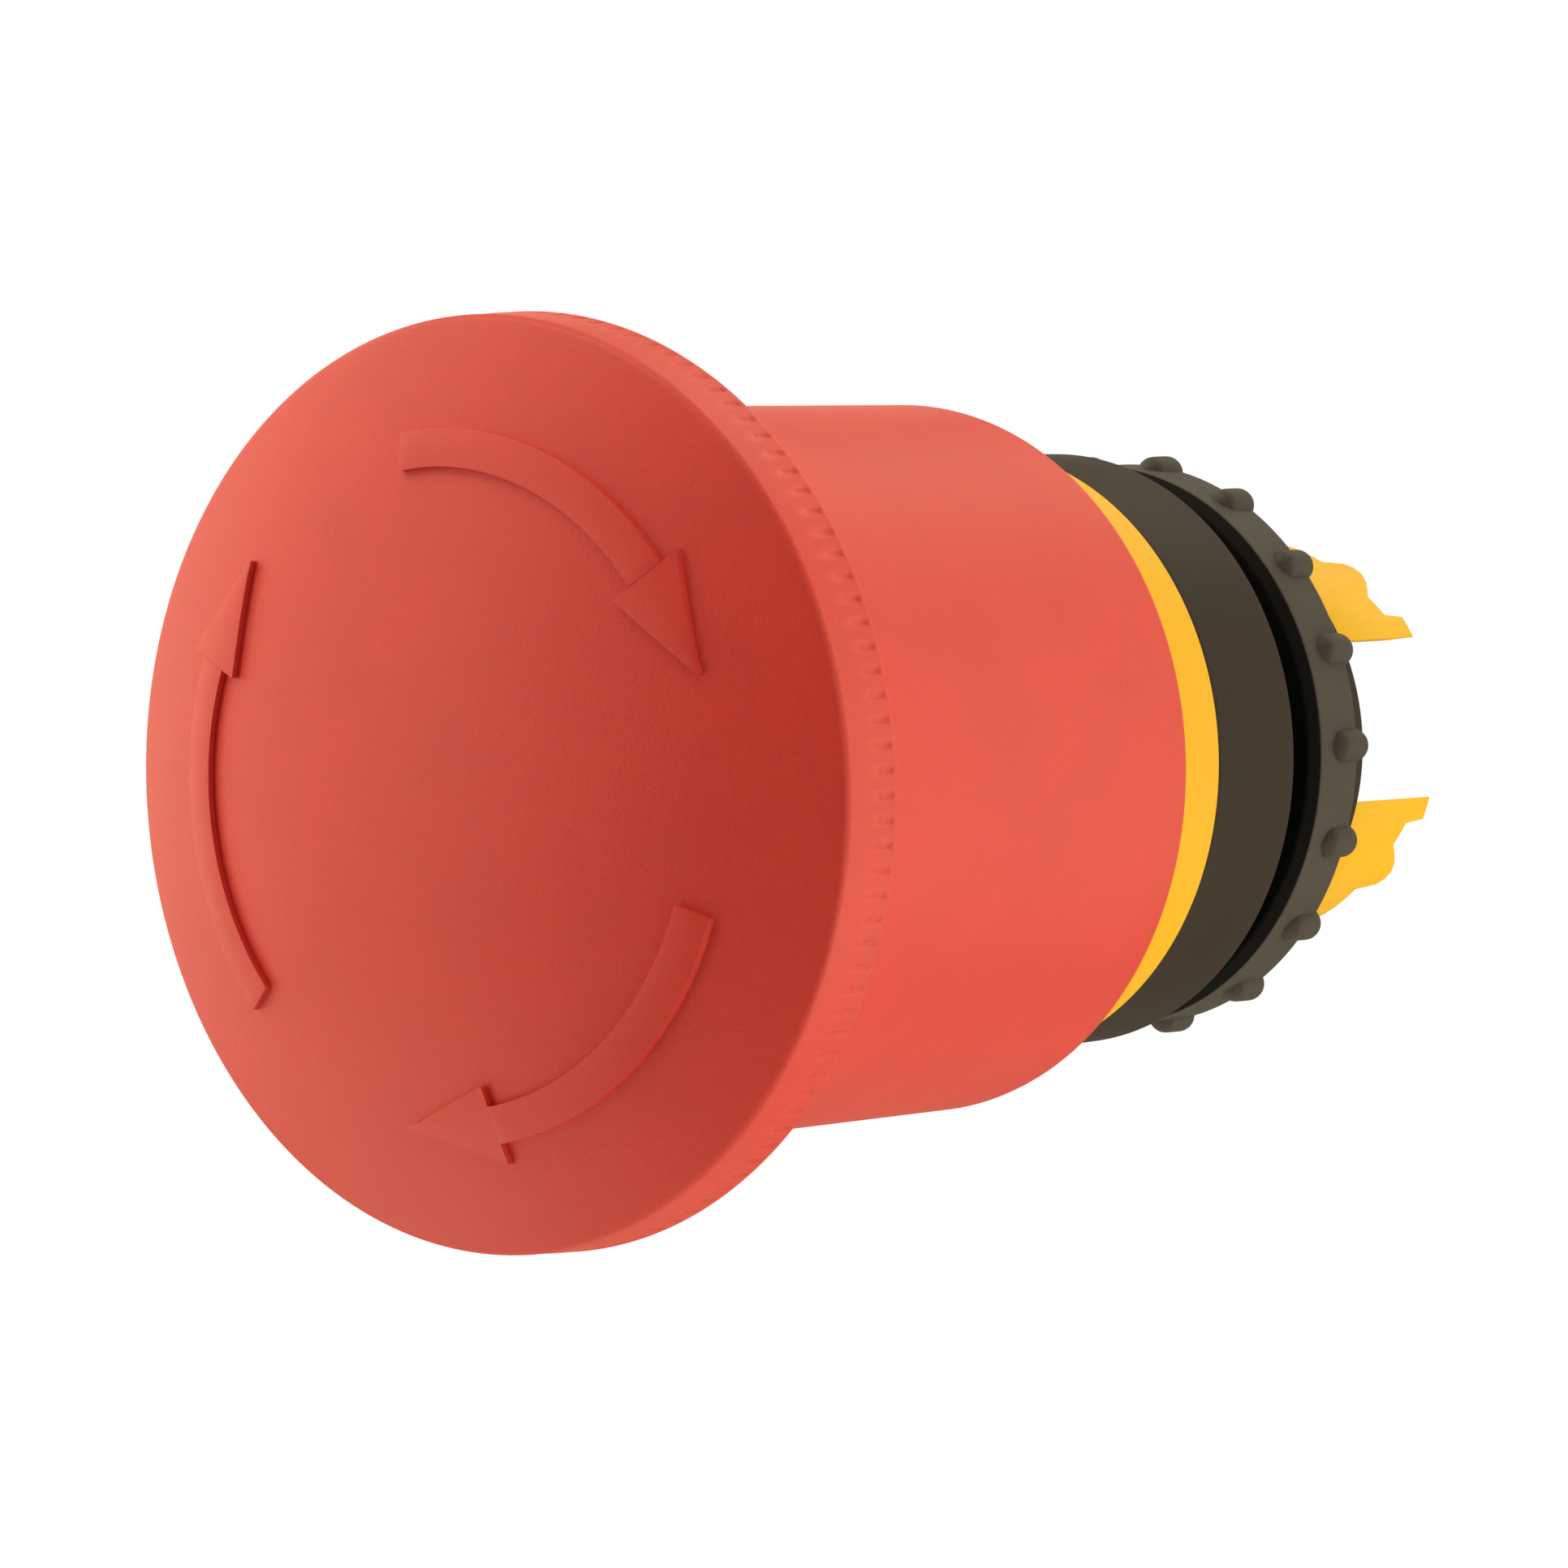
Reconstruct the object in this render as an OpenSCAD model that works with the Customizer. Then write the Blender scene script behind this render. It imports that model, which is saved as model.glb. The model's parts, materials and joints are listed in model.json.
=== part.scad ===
// Emergency stop button, turn to release, for a 22 mm panel hole.
// The operator presses along +Y and the plane Y = 0 is the middle of the panel.
// Inside operator_axis() local Z points at the operator and local Y is up.

/* [Mushroom cap] */
// Outer diameter of the cap
cap_d = 45; // [44:0.5:50]
// Distance from the middle of the panel to the back edge of the cap
cap_back_w = 41.1; // [41.1:0.1:44]
// Width of the band around the cap
cap_band_w = 3.7; // [3:0.1:5]
// Height of the dome above its rim
cap_dome_h = 5; // [4:0.5:7]
// Wall thickness of the cap
cap_wall = 2.2; // [2:0.1:2.4]
// Number of shallow notches around the back of the band
notch_count = 120; // [60:12:120]
// Number of raised arrows on the dome
arrow_count = 3; // [2:1:3]
// Radius at the middle of the arrow shafts
arrow_r = 16.15; // [15:0.1:17]
// Width of an arrow shaft
arrow_w = 1.8; // [1.4:0.1:2.2]
// Width of an arrow head
arrow_head_w = 3.8; // [3:0.1:4.2]
// Height of the arrows above the dome
arrow_rise = 0.35; // [0.2:0.05:0.5]

/* [Skirt] */
// Outer diameter of the skirt at its rear end
skirt_d = 34.9; // [34.8:0.1:35.4]
// How much wider in radius the skirt is at the cap
skirt_draft = 0.5; // [0:0.1:0.8]
// Distance from the middle of the panel to the rear end of the skirt
skirt_rear_w = 13.3; // [13.2:0.1:14]

/* [Collar and yellow ring] */
// Diameter of the front collar
collar_d = 29.5; // [29.2:0.1:30]
// Distance from the middle of the panel to the front of the collar
collar_front_w = 7.9; // [7.6:0.1:8]
// Diameter of the yellow ring
yellow_d = 30.3; // [30.1:0.1:30.5]

/* [Barrel, seal and ring nut] */
// Diameter of the barrel's thread
thread_d = 22; // [21.8:0.1:22.1]
// Pitch of the barrel's thread
thread_pitch = 1.5; // [1:0.25:1.5]
// Distance from the middle of the panel to its front, where the seal lies
seat_w = 1.05; // [1:0.05:1.1]
// Thickness of the panel seal
seal_t = 0.45; // [0.4:0.05:0.5]
// Gap between the panel seat and the ring nut
panel_gap = 2.05; // [2.05:0.05:3]
// Diameter of the ring nut
nut_d = 28.2; // [27.6:0.2:29]
// Thickness of the ring nut
nut_t = 3.6; // [3:0.1:4.5]
// Number of grip knobs on the ring nut
knob_count = 18; // [12:1:20]
// Angle at which the nut's first knob stands once it is tightened
knob_turn = 1.7; // [0:0.1:20]

/* [Plunger and latch] */
// Travel of the button
press_travel = 5; // [4:0.5:5]
// Outward travel of each latch pin over the whole press
latch_travel = 1.25; // [1:0.05:1.25]
// Angle through which the cap is turned to release it
release_angle = 40; // [30:1:40]
// Outer diameter of the plunger's prongs
prong_d = 20; // [19.6:0.1:20.4]

/* [Hidden] */
$fn = 96;
eps = 0.01;
fit = 0.05;         // gap between pieces that are assembled into each other
slide_fit = 0.08;   // radial gap of a piece that slides or turns

// Mushroom cap
cap_r = cap_d / 2;
crease_r = cap_r - 0.1;
crease_w = cap_back_w + cap_band_w;
dome_r = (crease_r * crease_r + cap_dome_h * cap_dome_h) / (2 * cap_dome_h);
dome_w = crease_w + cap_dome_h - dome_r;
rim_in_r = cap_r - 1.5;
socket_in_r = 7.05;
socket_r = 8.7;
arrow_tail_a = 101;
arrow_sweep_a = 60.7;
arrow_head_a = 19.4;
arrow_base_w = crease_w + 1.2;
notch_r = 0.3;
notch_w = 1.1;
notch_lip = 0.4;

// Skirt and hub
skirt_in_r = 15.75;
hub_r = 6.04;
hub_bore_r = 2.53;
hub_disc_w = 36.6;
hub_disc_t = 1.8;
skirt_web_w = hub_disc_w + hub_disc_t + fit;
skirt_flange_w = cap_back_w + 0.2;
hub_rear_w = 12;
screw_seat_w = hub_disc_w + 5.1;

// Spindle
spindle_r = 2.5;
spindle_rear_w = -12.3;
spindle_front_w = screw_seat_w - 1.5;
tapped_r = 1.62;
drive_pin_w = 26;
circlip_w = -11.85;
circlip_t = 0.6;

// Barrel, collar, seal and nut
thread_r = thread_d / 2;
thread_depth = 0.45;
thread_flat = 0.5;
thread_runout = 0.8;
barrel_rear_w = -9.2;
barrel_bore_r = 9.75;
collar_rear_w = seat_w + seal_t;
flange_rear_w = collar_rear_w + fit;
seal_groove_r = thread_r - 0.25;
flange_front_w = 4.7;
flange_r = 13.3;
neck_r = 11.4;
neck_front_w = 17.9;
sleeve_seat_w = 9.15;
sleeve_r = 8.85;
nut_bore_r = thread_r + slide_fit;
nut_front_w = seat_w - panel_gap;
nut_rear_w = nut_front_w - nut_t;
nut_chamfer = 0.5;
knob_r = 0.85;
knob_taper = 0.7;
yellow_front_w = 24;

// Plunger, carrier and latch
web_front_w = -2.8;
web_rear_w = -4.4;
plunger_r = barrel_bore_r - slide_fit;
plunger_in_r = 8.4;
prong_start_w = -9.7;
prong_tip_w = -16.1;
prong_ledge_w = -13.9;
prong_gap_w = -7.5;
prong_lean_a = 7.6;
// Half of the plunger's rear end from the side: [distance from its middle, distance from the panel]
prong_outline = [
    [4.07, prong_gap_w], [4.07, prong_tip_w], [5.15, prong_tip_w], [5.3, -14.8], [6.3, -14.5],
    [7.15, -15.45], [7.6, -15.75], [7.95, -15.7], [8.2, -15.3], [8.35, prong_ledge_w],
    [11, prong_ledge_w], [11, prong_gap_w]
];
rib_r = 10.3;
rib_w = 2.2;
carrier_r = 7;
carrier_front_w = 8;
pin_w = 4.5;
pin_r = 1.4;
pin_tip = 7.3;
pin_tail = 4.3;
peg_at = 5.1;
peg_r = 0.6;
cam_w = 8.2;
cam_t = 1.6;
cam_core_r = 4.3;
cam_margin_a = 9;
latch_land_r = 7.55;
latch_slope = latch_travel / press_travel;

// Every module below is drawn in the operator's frame
module operator_axis() {
    rotate([90, 0, 0]) children();
}

// A solid ring between two distances from the middle of the panel
module ring(r_out, r_in, w0, w1) {
    translate([0, 0, w0]) difference() {
        cylinder(r = r_out, h = w1 - w0);
        translate([0, 0, -1]) cylinder(r = r_in, h = w1 - w0 + 2);
    }
}

// A solid of revolution from points [radius, distance from the middle of the panel]
module turned(points) {
    rotate_extrude() polygon(points);
}

// A wedge with its edge on the axis, between two angles
module wedge(a0, a1, w0, w1, reach = 30) {
    translate([0, 0, w0]) linear_extrude(w1 - w0)
        polygon([[0, 0], reach * [cos(a0), sin(a0)], reach * [cos(a1), sin(a1)]]);
}

// Crest, groove and crest of a thread, seen as rings, from w0 towards w1
function thread_points(r, depth, w0, turns) = [
    for (i = [0 : turns - 1], p = [
        [r, 0],
        [r, thread_flat],
        [r - depth, (thread_flat + thread_pitch) / 2],
    ]) [p[0], w0 + i * thread_pitch + p[1]]
];

// Round wire swept along a list of points around the local Z axis
function unit(v) = v / norm(v);
function radial(p) = unit([p[0], p[1], 0]);
function tangent(path, i) =
    unit(path[min(i + 1, len(path) - 1)] - path[max(i - 1, 0)]);
function wire_ring(p, t, r, sides) =
    let (n = unit(radial(p) - (radial(p) * t) * t), b = cross(t, n))
    [for (k = [0 : sides - 1]) p + r * cos(360 * k / sides) * n + r * sin(360 * k / sides) * b];

module wire(path, r, sides = 8) {
    last = len(path) - 1;
    rings = [for (i = [0 : last]) each wire_ring(path[i], tangent(path, i), r, sides)];
    walls = [for (i = [0 : last - 1], k = [0 : sides - 1])
        let (a = i * sides + k, b = i * sides + (k + 1) % sides)
        [a, a + sides, b + sides, b]];
    first_cap = [for (k = [0 : sides - 1]) k];
    last_cap = [for (k = [sides - 1 : -1 : 0]) last * sides + k];
    polyhedron(rings, concat(walls, [first_cap, last_cap]), convexity = 10);
}

// A coil whose first and last turns lie flat, as on a compression spring
function coil(r, w0, w1, turns, flat, steps = 16) = [
    for (i = [0 : turns * steps])
    let (
        turn = i / steps,
        low = min(turn, 1),
        high = max(turn - turns + 1, 0),
        middle = (turn - low - high) / (turns - 2),
        rise = w1 - w0 - 2 * flat
    )
    [r * cos(360 * turn), r * sin(360 * turn), w0 + flat * (low + high) + rise * middle]
];

// Mushroom cap: domed shell with arrows, band and central socket
module arrow() {
    tip_a = arrow_tail_a - arrow_sweep_a - arrow_head_a;
    barb_a = arrow_tail_a - arrow_sweep_a;
    shaft_in = arrow_r - arrow_w / 2;
    shaft_out = arrow_r + arrow_w / 2;
    head_in = arrow_r - arrow_head_w / 2;
    head_out = arrow_r + arrow_head_w / 2;
    height = cap_dome_h + 2;
    translate([0, 0, arrow_base_w]) {
        rotate([0, 0, barb_a - 1]) rotate_extrude(angle = arrow_sweep_a + 1)
            translate([shaft_in, 0]) square([shaft_out - shaft_in, height]);
        linear_extrude(height) polygon([
            head_in * [cos(barb_a), sin(barb_a)],
            (arrow_r + 0.4) * [cos(tip_a), sin(tip_a)],
            head_out * [cos(barb_a), sin(barb_a)]
        ]);
    }
}

module mushroom_cap() {
    color("firebrick") operator_axis() {
        difference() {
            intersection() {
                union() {
                    translate([0, 0, cap_back_w])
                        cylinder(r1 = cap_r, r2 = crease_r, h = cap_band_w);
                    translate([0, 0, crease_w - eps])
                        cylinder(r = crease_r, h = cap_dome_h + 1);
                }
                translate([0, 0, dome_w]) sphere(r = dome_r, $fn = 180);
            }
            intersection() {
                translate([0, 0, cap_back_w - 1]) cylinder(r = rim_in_r, h = 20);
                translate([0, 0, dome_w]) sphere(r = dome_r - cap_wall, $fn = 180);
            }
            for (i = [0 : notch_count - 1])
                rotate([0, 0, 360 * i / notch_count])
                    translate([cap_r + 0.1, 0, cap_back_w + notch_lip])
                        cylinder(r = notch_r, h = notch_w, $fn = 16);
        }
        ring(socket_r, socket_in_r, skirt_web_w, crease_w + 0.5 * cap_dome_h);
        for (i = [0 : arrow_count - 1])
            rotate([0, 0, 360 * i / arrow_count]) intersection() {
                arrow();
                translate([0, 0, dome_w]) sphere(r = dome_r + arrow_rise, $fn = 180);
            }
    }
}

// Skirt: long tube that carries the cap and rides over the yellow ring
module cap_skirt() {
    front_w = skirt_flange_w + 1.3;
    color("tomato") operator_axis() difference() {
        union() {
            translate([0, 0, skirt_rear_w]) cylinder(
                r1 = skirt_d / 2, r2 = skirt_d / 2 + skirt_draft, h = front_w - skirt_rear_w);
            ring(rim_in_r - fit, socket_r + 3, skirt_flange_w, front_w);
        }
        translate([0, 0, skirt_rear_w - 1]) cylinder(r = skirt_in_r, h = skirt_web_w - skirt_rear_w + 1);
        translate([0, 0, skirt_web_w + 1.4]) cylinder(r = skirt_in_r, h = 10);
        translate([0, 0, skirt_web_w - 1]) cylinder(r = socket_r + fit, h = 10);
    }
}

// Hub: joins cap, skirt and spindle, and turns in the guide sleeve
module cap_hub() {
    front_w = screw_seat_w + 2.1;
    color("dimgray") operator_axis() difference() {
        turned([
            [0, hub_rear_w], [hub_r, hub_rear_w], [hub_r, hub_disc_w],
            [skirt_in_r - 0.35, hub_disc_w], [skirt_in_r - 0.35, hub_disc_w + hub_disc_t],
            [socket_in_r - fit, hub_disc_w + hub_disc_t], [socket_in_r - fit, front_w], [0, front_w]
        ]);
        translate([0, 0, hub_rear_w - 1]) cylinder(r = hub_bore_r, h = spindle_front_w - hub_rear_w + 1 + fit);
        cylinder(r = 1.7, h = front_w + 1);
        translate([0, 0, screw_seat_w]) cylinder(r = 4, h = 5);
        translate([0, 0, drive_pin_w]) rotate([90, 0, 0]) cylinder(r = 0.82, h = 20, center = true);
    }
}

module spindle() {
    color("silver") operator_axis() difference() {
        turned([
            [0, spindle_rear_w], [spindle_r - 0.3, spindle_rear_w], [spindle_r, spindle_rear_w + 0.3],
            [spindle_r, circlip_w - fit], [1.9, circlip_w - fit], [1.9, circlip_w + circlip_t + fit],
            [spindle_r, circlip_w + circlip_t + fit], [spindle_r, spindle_front_w], [0, spindle_front_w]
        ]);
        translate([0, 0, spindle_front_w - 8]) cylinder(r = tapped_r, h = 9);
        translate([0, 0, drive_pin_w]) rotate([90, 0, 0]) cylinder(r = 0.82, h = 20, center = true);
    }
}

// Screw that holds the hub on the spindle
module spindle_screw() {
    head_w = screw_seat_w + fit;
    color("lightgray") operator_axis() difference() {
        union() {
            translate([0, 0, head_w - 7.5]) cylinder(r = tapped_r - 0.02, h = 7.6);
            translate([0, 0, head_w]) cylinder(r = 3.5, h = 1.8);
        }
        for (a = [0, 90])
            rotate([0, 0, a]) translate([-1.9, -0.35, head_w + 0.9]) cube([3.8, 0.7, 2]);
    }
}

// Cross pin that makes the spindle turn with the hub
module drive_pin() {
    color("lightgray") operator_axis() translate([0, 0, drive_pin_w]) rotate([90, 0, 0])
        cylinder(r = 0.8, h = 2 * hub_r - 0.7, center = true);
}

module thrust_washer() {
    color("silver") operator_axis() ring(10.6, hub_r + 0.1, hub_disc_w - 0.65, hub_disc_w - fit);
}

// Release cam: two lobes that draw the latch pins in as the cap is turned
module release_cam() {
    color("goldenrod") operator_axis() difference() {
        union() {
            difference() {
                translate([0, 0, cam_w]) cylinder(r = carrier_r, h = cam_t);
                for (side = [0, 180]) rotate([0, 0, side])
                    wedge(-cam_margin_a, release_angle + cam_margin_a, cam_w - 1, cam_w + cam_t + 1);
            }
            translate([0, 0, cam_w]) cylinder(r = cam_core_r, h = hub_rear_w - fit - cam_w);
        }
        translate([0, 0, cam_w - 1]) cylinder(r = hub_bore_r, h = 10);
    }
}

// Collar at the spindle's rear end that holds the torsion spring's tail
module spring_collar() {
    color("dimgray") operator_axis() difference() {
        ring(5.2, hub_bore_r, -11.15, -9.9);
        translate([3.9, 0, -12]) cylinder(r = 0.5, h = 3);
    }
}

module spindle_circlip() {
    color("silver") operator_axis() difference() {
        ring(4.2, 1.95, circlip_w, circlip_w + circlip_t);
        wedge(240, 300, circlip_w - 1, circlip_w + circlip_t + 1);
    }
}

// Plunger: slides in the barrel and carries the prongs that work the contacts
module prongs() {
    rotate([0, 0, prong_lean_a]) rotate([0, 90, 0]) linear_extrude(30, center = true)
        for (side = [1, -1]) polygon([for (p = prong_outline) [-p[1], side * p[0]]]);
}

module plunger() {
    color("gold") operator_axis() difference() {
        union() {
            translate([0, 0, prong_gap_w - eps]) cylinder(r = plunger_r, h = web_front_w - prong_gap_w + eps);
            intersection() {
                union() {
                    translate([0, 0, prong_ledge_w]) cylinder(r = plunger_r, h = prong_gap_w - prong_ledge_w);
                    translate([0, 0, prong_tip_w]) cylinder(r = prong_d / 2, h = prong_start_w - prong_tip_w);
                }
                prongs();
            }
            for (side = [90, 270]) rotate([0, 0, side])
                translate([plunger_r - 1, -rib_w / 2, barrel_rear_w + 0.4])
                    cube([rib_r - plunger_r + 1, rib_w, web_front_w - barrel_rear_w - 0.4]);
        }
        translate([0, 0, -30]) cylinder(r = plunger_in_r, h = 30 + web_rear_w);
        translate([0, 0, -10]) cylinder(r = spindle_r + slide_fit, h = 10);
        for (side = [90, 270]) rotate([0, 0, side])
            translate([4.9, -1.3, -10]) cube([1.5, 2.6, 10]);
        translate([3.9, 0, -10]) cylinder(r = 0.5, h = 10);
    }
}

// Carrier of the latch pins, clipped into the plunger's web by two legs
module pin_carrier() {
    color("dimgray") operator_axis() difference() {
        union() {
            translate([0, 0, web_front_w + fit]) cylinder(r = carrier_r, h = carrier_front_w - web_front_w - fit);
            for (side = [90, 270]) rotate([0, 0, side]) {
                translate([4.95, -1.2, -5.6]) cube([1.3, 2.4, 6]);
                translate([4.95, -1.2, -5.6]) cube([1.8, 2.4, 1.1]);
            }
        }
        translate([0, 0, -10]) cylinder(r = spindle_r + slide_fit, h = 30);
        translate([3.9, 0, -10]) cylinder(r = 0.5, h = 9);
        for (side = [0, 180]) rotate([0, 0, side]) {
            translate([2.95, 0, pin_w]) rotate([0, 90, 0]) cylinder(r = pin_r + fit, h = 10);
            translate([pin_tail, -peg_r - fit, pin_w]) cube([10, 2 * (peg_r + fit), 10]);
        }
    }
}

// One latch pin, pointing along +X, with its spring stem and cam peg
module latch_pin() {
    translate([0, 0, pin_w]) rotate([0, 90, 0]) {
        translate([0, 0, 3.4]) cylinder(r = 0.55, h = pin_tail - 3.4 + eps);
        translate([0, 0, pin_tail]) cylinder(r = pin_r, h = pin_tip - 0.5 - pin_tail);
        translate([0, 0, pin_tip - 0.5]) cylinder(r1 = pin_r, r2 = pin_r - 0.5, h = 0.5);
    }
    translate([peg_at, 0, pin_w]) cylinder(r = peg_r, h = cam_w + cam_t - 0.3 - pin_w);
}

module latch_pin_right() {
    color("lightgray") operator_axis() latch_pin();
}

module latch_pin_left() {
    color("lightgray") operator_axis() rotate([0, 0, 180]) latch_pin();
}

// Small springs that push the latch pins outwards
module latch_springs() {
    color("silver") operator_axis() for (side = [0, 180])
        rotate([0, 0, side]) translate([0, 0, pin_w]) rotate([0, 90, 0])
            wire(coil(1, 3.12, pin_tail - 0.14, 3, 0.34, 12), 0.1, 6);
}

// Spring that turns the cap back after a release
module torsion_spring() {
    start = [for (w = [-3.4, -4.2]) [3.9, 0, w]];
    finish = [for (w = [-9.9, -10.8]) [3.9, 0, w]];
    color("silver") operator_axis()
        wire(concat(start, [for (p = coil(3.9, -4.95, -9.35, 5, -0.84, 16)) p], finish), 0.38);
}

// Threaded barrel: flange, thread and neck, with a bore for the plunger
module threaded_barrel() {
    turns = floor((-barrel_rear_w - 1) / thread_pitch);
    color("darkslategray") operator_axis() difference() {
        turned(concat(
            [[barrel_bore_r, barrel_rear_w], [thread_r - 0.4, barrel_rear_w], [thread_r, barrel_rear_w + 0.4]],
            thread_points(thread_r, thread_depth, barrel_rear_w + thread_runout, turns),
            [
                [thread_r, barrel_rear_w + thread_runout + turns * thread_pitch],
                [thread_r, seat_w], [seal_groove_r, seat_w], [seal_groove_r, flange_rear_w],
                [flange_r, flange_rear_w], [flange_r, flange_front_w],
                [neck_r, flange_front_w], [neck_r, neck_front_w], [sleeve_r + fit, neck_front_w],
                [sleeve_r + fit, sleeve_seat_w], [barrel_bore_r, sleeve_seat_w]
            ]
        ));
        for (side = [90, 270]) rotate([0, 0, side])
            translate([0, -rib_w / 2 - 0.1, barrel_rear_w - 1])
                cube([rib_r + 0.12, rib_w + 0.2, web_front_w - barrel_rear_w + 1.3]);
    }
}

module front_collar() {
    r = collar_d / 2;
    color("black") operator_axis() turned([
        [flange_r + fit, collar_rear_w], [r, collar_rear_w], [r + 0.15, collar_front_w - 0.3],
        [r - 0.15, collar_front_w], [neck_r + fit, collar_front_w],
        [neck_r + fit, flange_front_w + fit], [flange_r + fit, flange_front_w + fit]
    ]);
}

module yellow_ring() {
    r = yellow_d / 2;
    base_w = collar_front_w + fit;
    color("gold") operator_axis() turned([
        [neck_r + fit, base_w], [r, base_w], [r, yellow_front_w], [r - 1.2, yellow_front_w],
        [r - 1.2, base_w + 1.5], [neck_r + fit, base_w + 1.5]
    ]);
}

module panel_seal() {
    color("black") operator_axis() ring(13.7, thread_r + fit, seat_w, collar_rear_w);
}

// Latch ring: its cone lets the pins move out as the button goes in
module latch_ring() {
    cone_front_w = pin_w + pin_r + 0.1;
    cone_rear_w = pin_w - press_travel - pin_r + 0.1;
    cone_r = latch_land_r + latch_slope * (cone_front_w - cone_rear_w);
    color("silver") operator_axis() turned([
        [latch_land_r, 9], [barrel_bore_r - fit, 9], [barrel_bore_r - fit, -2.6],
        [cone_r, -2.6], [cone_r, cone_rear_w], [latch_land_r, cone_front_w]
    ]);
}

// Guide sleeve: bearing of the hub, with a pocket for the lip seal
module guide_sleeve() {
    color("ivory") operator_axis() turned([
        [7.3, sleeve_seat_w + 0.15], [sleeve_r, sleeve_seat_w + 0.15], [sleeve_r, neck_front_w + fit],
        [neck_r, neck_front_w + fit], [neck_r, 19.4], [8.35, 19.4], [8.35, 16.8],
        [hub_r + 0.06, 16.8], [hub_r + 0.06, 11.2], [7.3, 11.2]
    ]);
}

module lip_seal() {
    color("black") operator_axis() turned([
        [hub_r + slide_fit, 18.4], [hub_r + slide_fit, 17.9], [6.6, 17.3], [6.6, 16.9], [8.3, 16.9], [8.3, 18.4]
    ]);
}

module seal_retainer() {
    color("dimgray") operator_axis() turned([
        [6.3, 18.45], [8.3, 18.45], [8.3, 19.45], [10.8, 19.45], [10.8, 20.4], [6.3, 20.4]
    ]);
}

module return_spring() {
    color("silver") operator_axis() wire(coil(8.9, 20.95, hub_disc_w - 1.2, 7, 1.02, 20), 0.5);
}

// Ring nut: turned by hand or with a key on its knobs
module ring_nut() {
    r = nut_d / 2;
    turns = floor((nut_t - 1) / thread_pitch);
    bore_w = nut_front_w - 0.8;
    knob_w = nut_t / 2 - 0.6;
    color("darkslategray") operator_axis() difference() {
        union() {
            turned([
                [nut_bore_r, nut_rear_w], [r - 0.3, nut_rear_w], [r, nut_rear_w + 0.3],
                [r, nut_front_w - nut_chamfer], [r - nut_chamfer, nut_front_w], [nut_bore_r, nut_front_w]
            ]);
            for (i = [0 : knob_count - 1]) rotate([0, 0, knob_turn + 360 * i / knob_count])
                translate([r - 0.25, 0, nut_rear_w + 0.4]) {
                    cylinder(r = knob_r, h = knob_w, $fn = 32);
                    translate([0, 0, knob_w]) cylinder(r1 = knob_r, r2 = 0.15, h = knob_taper, $fn = 32);
                    sphere(r = knob_r, $fn = 32);
                }
        }
        for (i = [0 : turns - 1])
            translate([0, 0, bore_w - i * thread_pitch]) rotate_extrude()
                polygon([[nut_bore_r - 1, 0.5], [nut_bore_r, 0.5], [nut_bore_r + thread_depth, 0],
                    [nut_bore_r, -0.5], [nut_bore_r - 1, -0.5]]);
        translate([0, 0, nut_rear_w - 2]) cylinder(r = nut_bore_r, h = nut_t + 4);
    }
}

mushroom_cap();
cap_skirt();
cap_hub();
spindle();
spindle_screw();
drive_pin();
thrust_washer();
release_cam();
spring_collar();
spindle_circlip();
plunger();
pin_carrier();
latch_springs();
torsion_spring();
latch_pin_left();
latch_pin_right();
threaded_barrel();
front_collar();
yellow_ring();
panel_seal();
latch_ring();
guide_sleeve();
lip_seal();
seal_retainer();
return_spring();
ring_nut();
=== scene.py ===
import json
import math

import bmesh
import bpy
from mathutils import Matrix, Vector

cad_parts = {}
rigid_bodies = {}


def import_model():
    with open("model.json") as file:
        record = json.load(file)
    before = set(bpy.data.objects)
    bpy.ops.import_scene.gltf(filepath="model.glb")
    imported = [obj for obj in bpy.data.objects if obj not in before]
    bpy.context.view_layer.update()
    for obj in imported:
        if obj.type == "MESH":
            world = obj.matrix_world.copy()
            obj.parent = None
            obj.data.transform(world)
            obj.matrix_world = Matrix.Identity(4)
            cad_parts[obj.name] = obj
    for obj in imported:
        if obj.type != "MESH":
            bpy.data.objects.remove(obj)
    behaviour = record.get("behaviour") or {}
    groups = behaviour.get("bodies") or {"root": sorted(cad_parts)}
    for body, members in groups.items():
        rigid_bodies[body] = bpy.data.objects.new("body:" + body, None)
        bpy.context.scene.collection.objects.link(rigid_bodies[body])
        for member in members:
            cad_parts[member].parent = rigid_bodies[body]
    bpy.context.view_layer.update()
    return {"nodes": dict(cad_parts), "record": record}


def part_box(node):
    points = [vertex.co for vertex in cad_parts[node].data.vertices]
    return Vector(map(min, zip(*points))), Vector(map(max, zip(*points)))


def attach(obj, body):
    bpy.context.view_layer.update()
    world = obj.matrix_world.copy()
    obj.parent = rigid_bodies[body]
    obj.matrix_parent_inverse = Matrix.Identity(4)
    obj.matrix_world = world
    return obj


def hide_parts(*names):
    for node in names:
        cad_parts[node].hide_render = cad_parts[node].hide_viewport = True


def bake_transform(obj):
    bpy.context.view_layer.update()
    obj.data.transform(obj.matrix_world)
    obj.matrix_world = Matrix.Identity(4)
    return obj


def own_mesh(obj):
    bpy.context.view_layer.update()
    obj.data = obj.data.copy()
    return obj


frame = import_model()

# Emergency stop button. The operator presses along +Y and Y = 0 is the middle of the panel.
# Sizes are millimetres times MM, and places along the axis come from the frame. The profiles of turned
# pieces are (r, w) in millimetres: radius, and distance from the panel towards the operator.
MM = 0.001
TURN = 2 * math.pi
AXIS = (0, 1, 0)
SAME_PLACE = 0.0005 * MM    # points closer than this are one
POLE_R = 0.0002 * MM        # a profile that meets the axis starts at this radius and is merged there


# ---------------------------------------------------------------- modelling helpers

def span_y(node):
    """Front and rear of a frame node along the button's axis."""
    low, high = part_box(node)
    return low[1], high[1]


def deselect_all():
    for other in bpy.context.view_layer.objects:
        other.select_set(False)


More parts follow.
